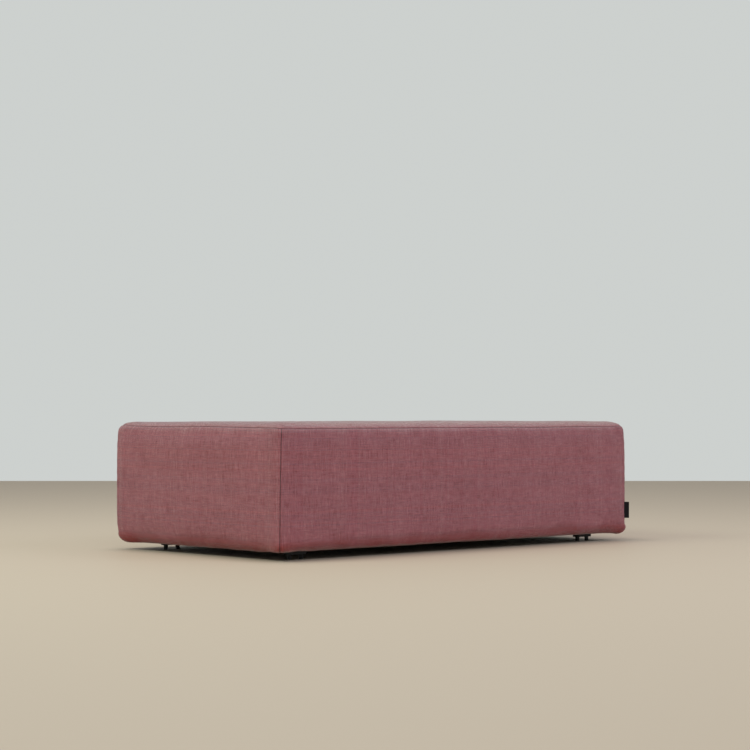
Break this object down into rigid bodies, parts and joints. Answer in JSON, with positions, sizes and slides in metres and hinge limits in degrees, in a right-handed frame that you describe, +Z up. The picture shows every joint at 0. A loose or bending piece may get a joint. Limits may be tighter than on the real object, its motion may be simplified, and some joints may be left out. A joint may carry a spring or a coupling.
{
  "type": "backless divan",
  "caption": "Low rectangular upholstered divan with no back or arms, a boxed fabric cover with rounded top edges, and small dark feet set in under the block.",
  "frame": {"origin": "on the floor, under the middle of the block", "axes": "+X along the block's length, +Y from the long front face to the long back face, +Z up from the floor to the seat"},
  "size_m": [1.5323, 0.8103, 0.4],
  "materials": {
    "cover_fabric": "woven melange upholstery cloth, dusty rose",
    "tag_ribbon": "black woven ribbon, bare",
    "wadding": "white polyester wadding",
    "soft_foam": "pale open-cell foam",
    "firm_foam": "grey-green open-cell foam",
    "felt": "needled grey felt",
    "spring_wire": "oiled spring steel",
    "zinc_steel": "bright zinc plate",
    "black_screws": "black zinc",
    "plywood": "birch plywood, sanded",
    "softwood": "planed pine",
    "foot_plastic": "moulded black, fine grain",
    "underside_cloth": "black spunbond cloth"
  },
  "bodies": {
    "root": {"back_panel": "cover_fabric", "back_rail": "softwood", "back_side_foam": "firm_foam", "clip_nails": "zinc_steel", "comfort_foam": "soft_foam", "corner_block_back_left": "softwood", "corner_block_back_right": "softwood", "corner_block_front_left": "softwood", "corner_block_front_right": "softwood", "cross_rail_left": "softwood", "cross_rail_right": "softwood", "dust_cover": "underside_cloth", "dust_cover_staples": "zinc_steel", "fibre_wrap": "wadding", "foot_back_left": "foot_plastic", "foot_back_right": "foot_plastic", "foot_board_left": "plywood", "foot_board_right": "plywood", "foot_front_left": "foot_plastic", "foot_front_right": "foot_plastic", "foot_screws": "black_screws", "frame_screws": "zinc_steel", "front_panel": "cover_fabric", "front_rail": "softwood", "front_side_foam": "firm_foam", "left_panel": "cover_fabric", "left_rail": "softwood", "left_side_foam": "firm_foam", "right_panel": "cover_fabric", "right_rail": "softwood", "right_side_foam": "firm_foam", "seat_foam": "firm_foam", "side_tag": "tag_ribbon", "spring_clips": "zinc_steel", "spring_felt": "felt", "top_panel": "cover_fabric", "zigzag_spring_1": "spring_wire", "zigzag_spring_10": "spring_wire", "zigzag_spring_2": "spring_wire", "zigzag_spring_3": "spring_wire", "zigzag_spring_4": "spring_wire", "zigzag_spring_5": "spring_wire", "zigzag_spring_6": "spring_wire", "zigzag_spring_7": "spring_wire", "zigzag_spring_8": "spring_wire", "zigzag_spring_9": "spring_wire"}
  },
  "joints": []
}
